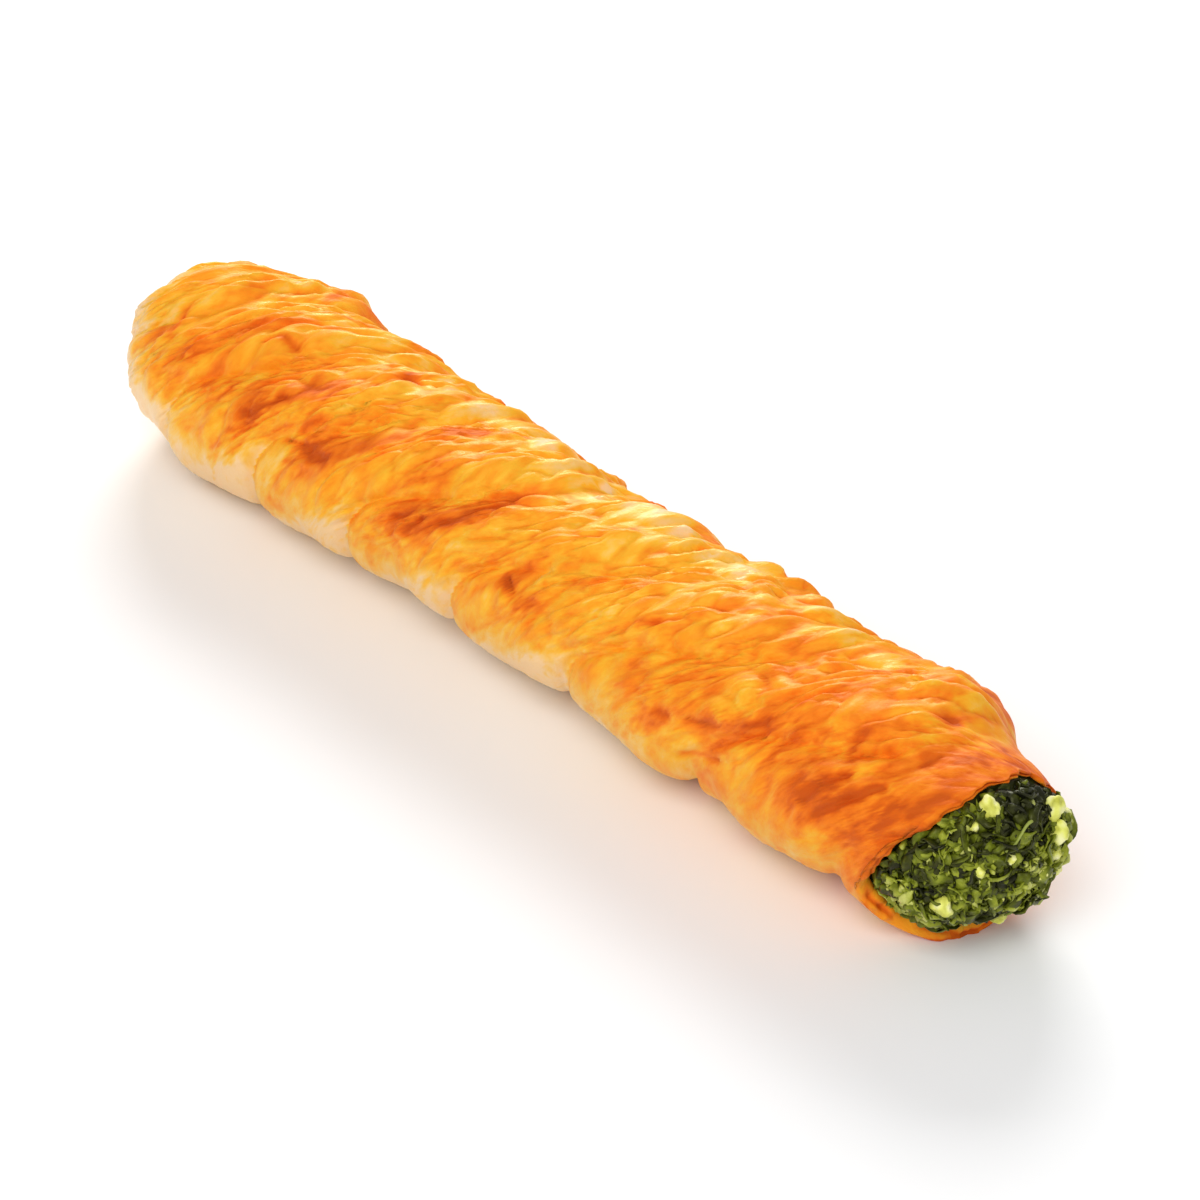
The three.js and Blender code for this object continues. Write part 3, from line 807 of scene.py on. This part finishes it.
def baking_and_painted_light(skin):
    """How brown the dough is at each corner of its skin, with its painted shade and painted highlight."""
    drawn = along_folds(skin.x, strayed(skin.x, skin.slant), BAKE_STRETCH)
    share = (skin.phase / (2 * math.pi)) % 1
    bake_and_painted_light = GOLDEN + UPPER_BAKE * smoothstep(skin.height, *UPPER_HEIGHTS) + mottle(drawn, *BAKE_GRAINS)
    for strength, start, end in ALONG_BAKES:
        bake_and_painted_light += strength * smoothstep(skin.x, start, end)
    bake_and_painted_light -= MIDDLE_PALE * bell((skin.x - MIDDLE_X) / MIDDLE_LENGTH)
    bake_and_painted_light += toasting(skin, drawn, share) - low_paleness(skin, drawn, share)
    bake_and_painted_light += rim_browning_and_seam_shade(skin, drawn) - end_paleness(skin) - painted_ridge_highlight(skin, drawn)
    # Darker along wrinkle valleys, pinched creases and dents: browned dough with painted shade in them
    bake_and_painted_light += LINE_BROWNING_AND_SHADE * skin.lines + MARK_BROWNING_AND_SHADE * skin.marks + DIMPLE_BROWNING_AND_SHADE * dimples(skin.x, skin.angle)
    bake_and_painted_light += FLOOR_BAKE * below(skin.height, FLOOR_HEIGHT, FLOOR_FADE)
    # Painted shade in the creases near the foot of the roll
    bake_and_painted_light += GROOVE_PAINTED_SHADE * groove(skin.phase) * below(skin.height, GROOVE_HEIGHT, GROOVE_FADE)
    return np.clip(bake_and_painted_light, 0, BAKE_MOST)


def make_dough():
    """The twisted dough: tucked end, barrel, lip, and the lining that closes it inside."""
    lip_start = TUCK_STEPS + BARREL_STEPS
    lining_start = lip_start + LIP_STEPS
    pocket_start = lining_start + LINING_STEPS
    along = pocket_start + POCKET_STEPS
    dough, u, v = new_sheet("dough", DOUGH_AROUND, along)
    step = np.rint(v * along)

    # The skin, from the tucked tip to the rim
    shoulder = TUCKED_TIP + TUCK_DOME
    depth = eased(1 - part_done(step, 0, TUCK_STEPS))
    run = part_done(step, TUCK_STEPS, BARREL_STEPS)
    rim = RIM_X + 0 * u
    for _ in range(RIM_ROUNDS):
        x = np.where(step <= TUCK_STEPS, shoulder - TUCK_DOME * depth, shoulder + (rim - shoulder) * run)
        angle = pleat_angle(x, u)
        rim = rim_x(angle)
    phase = fold_phase(x, angle)
    slant = pleat_phase(x, angle)
    pinched, marks = pinches(x, angle)
    wrinkled, lines = skin_relief(x, angle, slant)
    relief = fold_relief(x, angle, phase) + knuckle_relief(x, angle) + tuck_relief(x, angle)
    relief += pinched - DIMPLE_DEPTH * dimples(x, angle) + wrinkled
    outer = skin_radius(x, angle, rim, relief) * dome_share(depth, TUCK_BLUNTNESS)

    # The lip, rolled over from the skin to the lining
    inner = filling_radius(rim) + FIT_GAP
    thick = (outer - inner) / 2
    on_lip = step > lip_start
    lip = part_done(step, lip_start, LIP_STEPS)
    turn = lip * math.pi
    over = np.where(on_lip, rim + thick * turn, x)
    seam = lip_seam(angle, lip)
    bulge = LIP_BULGE * thick + mottle(along_folds(over, slant), LIP_GRAIN) - LIP_SEAM_DEPTH * seam
    x = np.where(on_lip, rim + bulge * np.sin(turn), x)
    radius = np.where(on_lip, inner + thick * (1 + np.cos(turn)), outer)

    # The lining, back along the filling, and the pocket that closes it
    pocket_shoulder = TUCKED_TIP + TUCK_WALL + FILLING_TUCK
    lining = part_done(step, lining_start, LINING_STEPS)
    inside = step > lining_start
    x = np.where(inside, rim + (pocket_shoulder - rim) * lining, x)
    radius = np.where(inside, filling_radius(x) + FIT_GAP, radius)
    closing = eased(part_done(step, pocket_start, POCKET_STEPS))
    in_pocket = step > pocket_start
    x = np.where(in_pocket, pocket_shoulder - FILLING_TUCK * closing, x)
    pocket = (body_radius(pocket_shoulder) + FIT_GAP) * dome_share(closing, TUCK_BLUNTNESS)
    radius = np.where(in_pocket, pocket, radius)

    points = place(x, angle, radius)
    move_corners(dough, points)
    skin = SimpleNamespace(
        x=over, angle=angle, degrees=np.degrees(angle) % 360, side=points[:, 1] / MM - AXIS_Y,
        height=points[:, 2] / MM, rim=rim, phase=phase, slant=slant, lines=lines, marks=marks, lip=lip,
        seam=seam)
    give(dough, "bake_and_painted_light", baking_and_painted_light(skin))
    give(dough, "folds", along_folds(over, strayed(over, slant)))
    face_outwards(merged=True)
    return dough


def dome_place(x, angle, out=0.0):
    """Points on the filling's open end, in millimetres, lifted off it by some distance, and the way out."""
    radius = filling_radius(x)
    slope = (filling_radius(x - SLOPE_REACH) - radius) / SLOPE_REACH
    ahead = slope / np.sqrt(1 + slope ** 2)
    round_about = 1 / np.sqrt(1 + slope ** 2)
    way_out = np.stack([ahead, round_about * np.cos(angle), round_about * np.sin(angle)], axis=1)
    return place(x, angle, radius) / MM + np.asarray(out).reshape(-1, 1) * way_out, way_out


def dome_spot(degrees, distance):
    """Where along the roll, and at what angle round it, the open end is that far from its axis."""
    share = dome_share(np.array([distance / body_radius(FILLING_SHOULDER)]), OPEN_BLUNTNESS)
    return FILLING_SHOULDER + FILLING_DOME * share, np.array([math.radians(degrees)])


def clump_height(points):
    """How far the clumps of the filling stand out: low down they sag, but spill at the front."""
    low = smoothstep(AXIS_HEIGHT - points[:, 2], *LOW_DEPTHS)
    front = smoothstep(AXIS_Y - points[:, 1], *FRONT_DEPTHS)
    height = -CLUMP_SINK + low * (LOW_SPILL * front - LOW_SINK * (1 - front))
    for rise, size, seed in CLUMP_GRAINS:
        height += rise * (np.abs(grain(points, size, seed)) - MEAN_CLUMP)
    return height


def scattered(count, chance, clear):
    """Random places on the part of the filling that shows, clear of the lip."""
    x = FILLING_TIP - FILLING_DOME * (1 - eased(np.linspace(0, 1, AREA_STEPS)))
    radius = filling_radius(x)
    length = np.hypot(np.diff(x), np.diff(radius))
    area = np.concatenate([[0], np.cumsum(length * (radius[1:] + radius[:-1]))])
    many = SPARE_PLACES * count
    chosen = np.interp(chance.random(many) * area[-1], area, x)
    angle = chance.random(many) * 2 * math.pi
    shown = chosen > rim_x(angle) + clear
    return chosen[shown][:count], angle[shown][:count]


def unit(vectors):
    return vectors / np.linalg.norm(vectors, axis=-1, keepdims=True)


def spread(chance, count, limits):
    """A random value between the limits for each of many small pieces."""
    return (limits[0] + (limits[1] - limits[0]) * chance.random(count))[:, None]


def turned_frames(way_out, chance, tilt):
    """Two ways along each small piece and one across it, turned at random and tilted."""
    count = len(way_out)
    first = unit(np.cross(way_out, chance.normal(size=(count, 3))))
    second = np.cross(way_out, first)
    lean = chance.normal(size=(count, 1)) * tilt
    across = np.cos(lean) * way_out + np.sin(lean) * second
    return first, np.cross(across, first), across


def laid(centre, ways, parts):
    """Corners of each small piece, from how far they lie along each of its three ways."""
    points = centre[:, None]
    for part, way in zip(parts, ways):
        points = points + part[..., None] * way[:, None]
    return points


def joined(name, points, faces, tone):
    """One mesh of many small pieces, from all their corners in millimetres and the faces of one."""
    count, each = points.shape[:2]
    every = [[corner + each * number for corner in face] for number in range(count) for face in faces]
    mesh = bpy.data.meshes.new(name)
    mesh.from_pydata((MM * points.reshape(-1, 3)).tolist(), [], every)
    piece = bpy.data.objects.new(name, mesh)
    bpy.context.scene.collection.objects.link(piece)
    give(piece, "tone", tone.ravel())
    pick(piece)
    face_outwards(merged=False)
    return piece


def make_core():
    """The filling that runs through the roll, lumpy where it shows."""
    dome_start = CORE_TUCK_STEPS + CORE_RUN_STEPS
    along = dome_start + CORE_DOME_STEPS
    core, u, v = new_sheet("filling_core", CORE_AROUND, along)
    angle = 2 * math.pi * u
    step = np.rint(v * along)
    start = TUCKED_TIP + TUCK_WALL + FIT_GAP + FILLING_TUCK
    tuck = eased(1 - part_done(step, 0, CORE_TUCK_STEPS))
    run = part_done(step, CORE_TUCK_STEPS, CORE_RUN_STEPS)
    dome = eased(part_done(step, dome_start, CORE_DOME_STEPS))
    x = start - FILLING_TUCK * tuck + (FILLING_SHOULDER - start) * run + FILLING_DOME * dome
    points = place(x, angle, filling_radius(x) * dome_share(tuck, TUCK_BLUNTNESS)) / MM
    way_out = unit(points - np.array([AXIS_X + CORE_CENTRE, 0, AXIS_HEIGHT]))
    shown = smoothstep(x - rim_x(angle), *CORE_LUMPS)
    points += ((clump_height(points) - CORE_SINK) * shown)[:, None] * way_out
    move_corners(core, MM * points)
    # Near-black core: painted shade for the gaps between the leaf scraps
    give(core, "tone", CORE_PAINTED_SHADE + np.abs(mottle(points, CORE_TONE_GRAIN)))
    face_outwards(merged=True)
    return core


def leaf_shade(points):
    """How much lighter or darker the chopped leaf is there."""
    total = np.zeros(len(points))
    for degrees, distance, reach, change in LEAF_SHADES:
        middle = dome_place(*dome_spot(degrees, distance))[0]
        total += change * bell(np.linalg.norm(points - middle, axis=1) / reach)
    return total


def leaf_faces():
    """The faces of one scrap of leaf: both sides and the edge between them."""
    per_side = LEAF_ACROSS * LEAF_ALONG
    grid = np.arange(per_side).reshape(LEAF_ALONG, LEAF_ACROSS)
    faces = []
    for first in grid[:-1, :-1].ravel().tolist():
        face = [first, first + 1, first + 1 + LEAF_ACROSS, first + LEAF_ACROSS]
        faces.append(face)
        faces.append([corner + per_side for corner in reversed(face)])
    edge = np.concatenate([grid[0], grid[1:, -1], grid[-1, -2::-1], grid[-2:0:-1, 0]]).tolist()
    for here, after in zip(edge, edge[1:] + edge[:1]):
        faces.append([after, here, here + per_side, after + per_side])
    return faces


def make_leaves():
    """Crumpled scraps of chopped leaf over the open end."""
    chance = np.random.default_rng(LEAF_SEED)
    x, angle = scattered(LEAVES, chance, LEAF_CLEAR)
    count = len(x)
    clumps = clump_height(dome_place(x, angle)[0]) * smoothstep(x - rim_x(angle), 0, LEAF_CLUMPS)
    centre, way_out = dome_place(x, angle, clumps + LEAF_LOOSE * chance.random(count))
    ways = turned_frames(way_out, chance, LEAF_TILT)

    # Size and outline: u runs along each scrap and v across it. Four of the six turns shape its waves.
    u, v = np.meshgrid(np.linspace(-1, 1, LEAF_ACROSS), np.linspace(-1, 1, LEAF_ALONG))
    u, v = u.ravel()[None], v.ravel()[None]
    size = chance.random(count)[:, None] ** LEAF_SIZE_POWER
    length = LEAF_LENGTH[0] + (LEAF_LENGTH[1] - LEAF_LENGTH[0]) * size
    narrowing = spread(chance, count, LEAF_NARROWING)
    width = LEAF_WIDTH[0] + (LEAF_WIDTH[1] - LEAF_WIDTH[0]) * size * narrowing
    turns = [spread(chance, count, (0, 2 * math.pi)) for _ in range(LEAF_TURNS)]
    rounding = 1 - LEAF_ROUNDING * u ** 2 * v ** 2
    lengthwise = 0.5 * length * (u * rounding + LEAF_END_WAVE * np.sin(LEAF_END_WAVES * v + turns[0]))
    crosswise = 0.5 * width * (v * rounding + LEAF_SIDE_WAVE * np.sin(LEAF_SIDE_WAVES * u + turns[1]))

    # Crumpling: waves along and across, and a cupped middle
    waves = spread(chance, count, LEAF_WAVE_HEIGHT)
    height = waves * np.sin(spread(chance, count, LEAF_WAVES_ALONG) * u + turns[2])
    slanting = spread(chance, count, LEAF_WAVES_ACROSS) * v + turns[3] + LEAF_WAVE_SLANT * u
    height = height + LEAF_ACROSS_SHARE * waves * np.sin(slanting)
    height = height - spread(chance, count, LEAF_CUP) * (u ** 2 + v ** 2 - LEAF_CUP_MEAN)
    half_thick = LEAF_THICK / 2
    sides = [laid(centre, ways, (lengthwise, crosswise, height + out)) for out in (half_thick, -half_thick)]

    # Painted light on raised clumps and painted shade in the hollows between them
    tone = LEAF_TONE + mottle(centre, LEAF_PATCH_GRAIN) + LEAF_CLUMP_LIGHT_AND_SHADE * clumps + leaf_shade(centre)
    tone = np.clip(tone + LEAF_TONE_SPREAD * chance.normal(size=count), *LEAF_TONE_LIMITS)[:, None]
    # Painted light on the raised crumples of each scrap, painted shade on its back side
    tone = tone + LEAF_PAINTED_LIGHT_AND_SHADE * np.concatenate([height, height - LEAF_BACK_SHADE], axis=1)
    return joined("leaf_scraps", np.concatenate(sides, axis=1), leaf_faces(), tone)


def stem_faces():
    """The faces of one strand: its rings and both its ends."""
    faces = []
    for ring_start in range(0, (STEM_STEPS - 1) * STEM_SIDES, STEM_SIDES):
        for side in range(STEM_SIDES):
            here = ring_start + side
            after = ring_start + (side + 1) % STEM_SIDES
            faces.append([here, after, after + STEM_SIDES, here + STEM_SIDES])
    last = STEM_STEPS * STEM_SIDES - 1
    faces.append(list(range(STEM_SIDES)))
    faces.append([last - side for side in range(STEM_SIDES)])
    return faces


def make_stems():
    """Pale strands of leaf stalk lying on the open end."""
    chance = np.random.default_rng(STEM_SEED)
    x, angle = scattered(STEMS, chance, STEM_CLEAR)
    count = len(x)
    clumps = clump_height(dome_place(x, angle)[0])
    centre, way_out = dome_place(x, angle, clumps + spread(chance, count, STEM_LIFT)[:, 0])
    ways = turned_frames(way_out, chance, STEM_TILT)
    run = np.repeat(np.linspace(-1, 1, STEM_STEPS), STEM_SIDES)[None]
    turn = np.tile(np.arange(STEM_SIDES) * 2 * math.pi / STEM_SIDES, STEM_STEPS)[None]
    half = spread(chance, count, STEM_LENGTH) / 2
    sway = spread(chance, count, STEM_SWAY)
    bow = spread(chance, count, STEM_BOW)
    taper = np.sqrt(np.clip(STEM_TAPER - run ** STEM_TAPER_POWER, 0, 1))
    thick = STEM_RADIUS * spread(chance, count, STEM_THICKNESS) * taper
    crosswise = sway * np.sin(STEM_CURL * run) + thick * np.cos(turn)
    height = -bow * run ** 2 + thick * np.sin(turn)
    points = laid(centre, ways, (half * run, crosswise, height))
    tone = np.repeat(spread(chance, count, STEM_TONE), STEM_STEPS * STEM_SIDES, axis=1)
    return joined("leaf_stems", points, stem_faces(), tone)


def cheese_crumb(degrees, distance, size, chance):
    """One crumb pressed into the open end. Its place there makes its lumps its own."""
    spot = dome_spot(degrees, distance)
    clump = np.maximum(clump_height(dome_place(*spot)[0]), -CLUMP_SINK)
    centre = dome_place(*spot, clump + CHEESE_LIFT * size)[0][0]
    pick()
    fineness = CHEESE_FINE if size > CHEESE_LARGE else CHEESE_COARSE
    bpy.ops.mesh.primitive_ico_sphere_add(subdivisions=fineness, radius=1)
    crumb = bpy.context.object
    ball = corners(crumb)
    rough = 1 + CHEESE_LUMP_HEIGHT * grain(ball, CHEESE_LUMP_SIZE, centre[1])
    rough += CHEESE_KNOB_HEIGHT * (np.abs(grain(ball, CHEESE_KNOB_SIZE, centre[2])) - MEAN_BUMP)
    rough -= CHEESE_PIT_DEPTH * np.abs(grain(ball, CHEESE_PIT_SIZE, centre[1]))
    squash = size * spread(chance, 3, CHEESE_SQUASH)[:, 0]
    move_corners(crumb, MM * (centre + ball * rough[:, None] * squash))
    give(crumb, "tone", np.clip(CHEESE_TONE * (1 + grain(ball, CHEESE_TONE_SIZE, centre[0])), 0, 1))
    return crumb


def make_cheese():
    """Crumbled cheese pressed into the open end."""
    chance = np.random.default_rng(CHEESE_SEED)
    pick(*[cheese_crumb(*lump, chance) for lump in CHEESE_LUMPS])
    bpy.ops.object.join()
    cheese = bpy.context.object
    call_it(cheese, "cheese_crumbs")
    bpy.ops.object.shade_smooth()
    return cheese


def set_values(node, values):
    for name, value in values.items():
        node.inputs[name].default_value = value


def new_material(name):
    material = bpy.data.materials.new(name)
    material.use_nodes = True
    tree = material.node_tree
    return material, tree, tree.nodes["Principled BSDF"]


def read(tree, name):
    """A value that a piece keeps at its corners."""
    node = tree.nodes.new("ShaderNodeAttribute")
    node.attribute_name = name
    return node


def own_place(tree):
    return tree.nodes.new("ShaderNodeTexCoord").outputs["Object"]


def speckle(tree, vector, scale, detail, rough):
    """A random pattern with about that many features to a unit of length."""
    node = tree.nodes.new("ShaderNodeTexNoise")
    set_values(node, {"Scale": scale, "Detail": detail, "Roughness": rough})
    tree.links.new(vector, node.inputs["Vector"])
    return node.outputs["Fac"]


def blend_in(tree, base, pattern, amount):
    """base plus that amount of a pattern, about the pattern's own middle."""
    centred = tree.nodes.new("ShaderNodeMath")
    centred.operation = "MULTIPLY_ADD"
    centred.inputs[1].default_value = amount
    centred.inputs[2].default_value = -amount / 2
    tree.links.new(pattern, centred.inputs[0])
    added = tree.nodes.new("ShaderNodeMath")
    added.operation = "ADD"
    tree.links.new(base, added.inputs[0])
    tree.links.new(centred.outputs[0], added.inputs[1])
    return added.outputs[0]


def tones(tree, value, stops):
    """Colours along a value."""
    ramp = tree.nodes.new("ShaderNodeValToRGB")
    elements = ramp.color_ramp.elements
    while len(elements) < len(stops):
        elements.new(0.5)
    for element, (position, colour) in zip(elements, stops):
        element.position = position
        element.color = (*colour, 1)
    tree.links.new(value, ramp.inputs["Fac"])
    return ramp.outputs["Color"]


def between(tree, value, low, high):
    """The middle of a pattern spread between two values."""
    node = tree.nodes.new("ShaderNodeMapRange")
    start, end = PATTERN_MIDDLE
    set_values(node, {"From Min": start, "From Max": end, "To Min": low, "To Max": high})
    tree.links.new(value, node.inputs["Value"])
    return node.outputs["Result"]


def raise_bumps(tree, skin, pattern):
    node = tree.nodes.new("ShaderNodeBump")
    set_values(node, {"Distance": BUMP_HEIGHT, "Strength": BUMP_STRENGTH})
    tree.links.new(pattern, node.inputs["Height"])
    tree.links.new(node.outputs["Normal"], skin.inputs["Normal"])


def crust_material():
    """Browned dough with an uneven egg wash. Streaks and fibres run with its folds."""
    material, tree, skin = new_material("baked_crust")
    folds = read(tree, "folds").outputs["Vector"]
    own = own_place(tree)
    streaks = speckle(tree, folds, scale=0.36, detail=4, rough=0.55)
    fibres = speckle(tree, folds, scale=1.1, detail=3, rough=0.5)
    freckles = speckle(tree, own, scale=900, detail=3, rough=0.6)
    wash = speckle(tree, own, scale=160, detail=3, rough=0.5)
    # The dough's colour value: browning, with painted shade and a painted highlight in it
    bake_and_painted_light = read(tree, "bake_and_painted_light").outputs["Fac"]
    bake_and_painted_light = blend_in(tree, bake_and_painted_light, streaks, amount=0.36)
    bake_and_painted_light = blend_in(tree, bake_and_painted_light, fibres, amount=0.16)
    bake_and_painted_light = blend_in(tree, bake_and_painted_light, freckles, amount=0.06)
    gloss = blend_in(tree, between(tree, bake_and_painted_light, *CRUST_ROUGHNESS), wash, amount=-0.3)
    tree.links.new(tones(tree, bake_and_painted_light, CRUST_TONES), skin.inputs["Base Color"])
    tree.links.new(gloss, skin.inputs["Roughness"])
    set_values(skin, CRUST_FINISH)
    raise_bumps(tree, skin, blend_in(tree, fibres, freckles, amount=0.5))
    return material


def moist_material(name, stops, roughness):
    """Leaf, stalk or cheese, each with its own colours, finely veined and moist."""
    material, tree, skin = new_material(name)
    own = own_place(tree)
    veins = speckle(tree, own, scale=700, detail=4, rough=0.6)
    tone = blend_in(tree, read(tree, "tone").outputs["Fac"], veins, amount=0.5)
    tree.links.new(tones(tree, tone, stops), skin.inputs["Base Color"])
    set_values(skin, {"Roughness": roughness, **MOIST_FINISH})
    raise_bumps(tree, skin, speckle(tree, own, scale=1500, detail=3, rough=0.6))
    return material


def finish_piece(piece, node, material):
    piece.data.materials.clear()
    piece.data.materials.append(material)
    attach(piece, "root")
    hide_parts(node)


def way_to(turn_degrees, rise_degrees):
    """The way from the object to a place at that turn about it and that rise above the floor."""
    turn = math.radians(turn_degrees)
    rise = math.radians(rise_degrees)
    return Vector((math.sin(turn) * math.cos(rise), -math.cos(turn) * math.cos(rise), math.sin(rise)))


def face_object(thing, outwards):
    """Turns a light or a camera towards the object."""
    thing.rotation_euler = (-outwards).to_track_quat("-Z", "Y").to_euler()


def softbox(name, turn, rise, distance, size, power):
    outwards = way_to(turn, rise)
    bpy.ops.object.light_add(type="AREA", location=AIM + distance * outwards)
    light = bpy.context.object
    light.name = name
    face_object(light, outwards)
    light.data.shape = "RECTANGLE"
    light.data.size, light.data.size_y = size
    light.data.energy = power


def set_camera():
    outwards = way_to(CAMERA_TURN, CAMERA_RISE)
    bpy.ops.object.camera_add(location=AIM + CAMERA_DISTANCE * outwards)
    camera = bpy.context.object
    face_object(camera, outwards)
    camera.data.sensor_width = SENSOR_WIDTH
    camera.data.lens = LENS
    bpy.context.scene.camera = camera


def set_stage():
    bpy.ops.mesh.primitive_plane_add(size=FLOOR_SIZE)
    floor = bpy.context.object
    floor.name = "floor"
    material, _, surface = new_material("pale_floor")
    set_values(surface, FLOOR_FINISH)
    floor.data.materials.append(material)

    world = bpy.data.worlds.new("studio")
    world.use_nodes = True
    set_values(world.node_tree.nodes["Background"], STUDIO_LIGHT)
    bpy.context.scene.world = world
    bpy.context.scene.view_settings.view_transform = "Standard"
    for box in SOFTBOXES:
        softbox(*box)
    set_camera()


finish_piece(make_dough(), "pastry", crust_material())
leaf_green = moist_material("cooked_spinach", LEAF_TONES, LEAF_ROUGHNESS)
stalk_green = moist_material("pale_stalk", STEM_TONES, STEM_ROUGHNESS)
cheese_yellow = moist_material("crumbled_cheese", CHEESE_TONES, CHEESE_ROUGHNESS)
finish_piece(make_core(), "filling", leaf_green)
finish_piece(make_leaves(), "filling", leaf_green)
finish_piece(make_stems(), "filling", stalk_green)
finish_piece(make_cheese(), "filling", cheese_yellow)
set_stage()
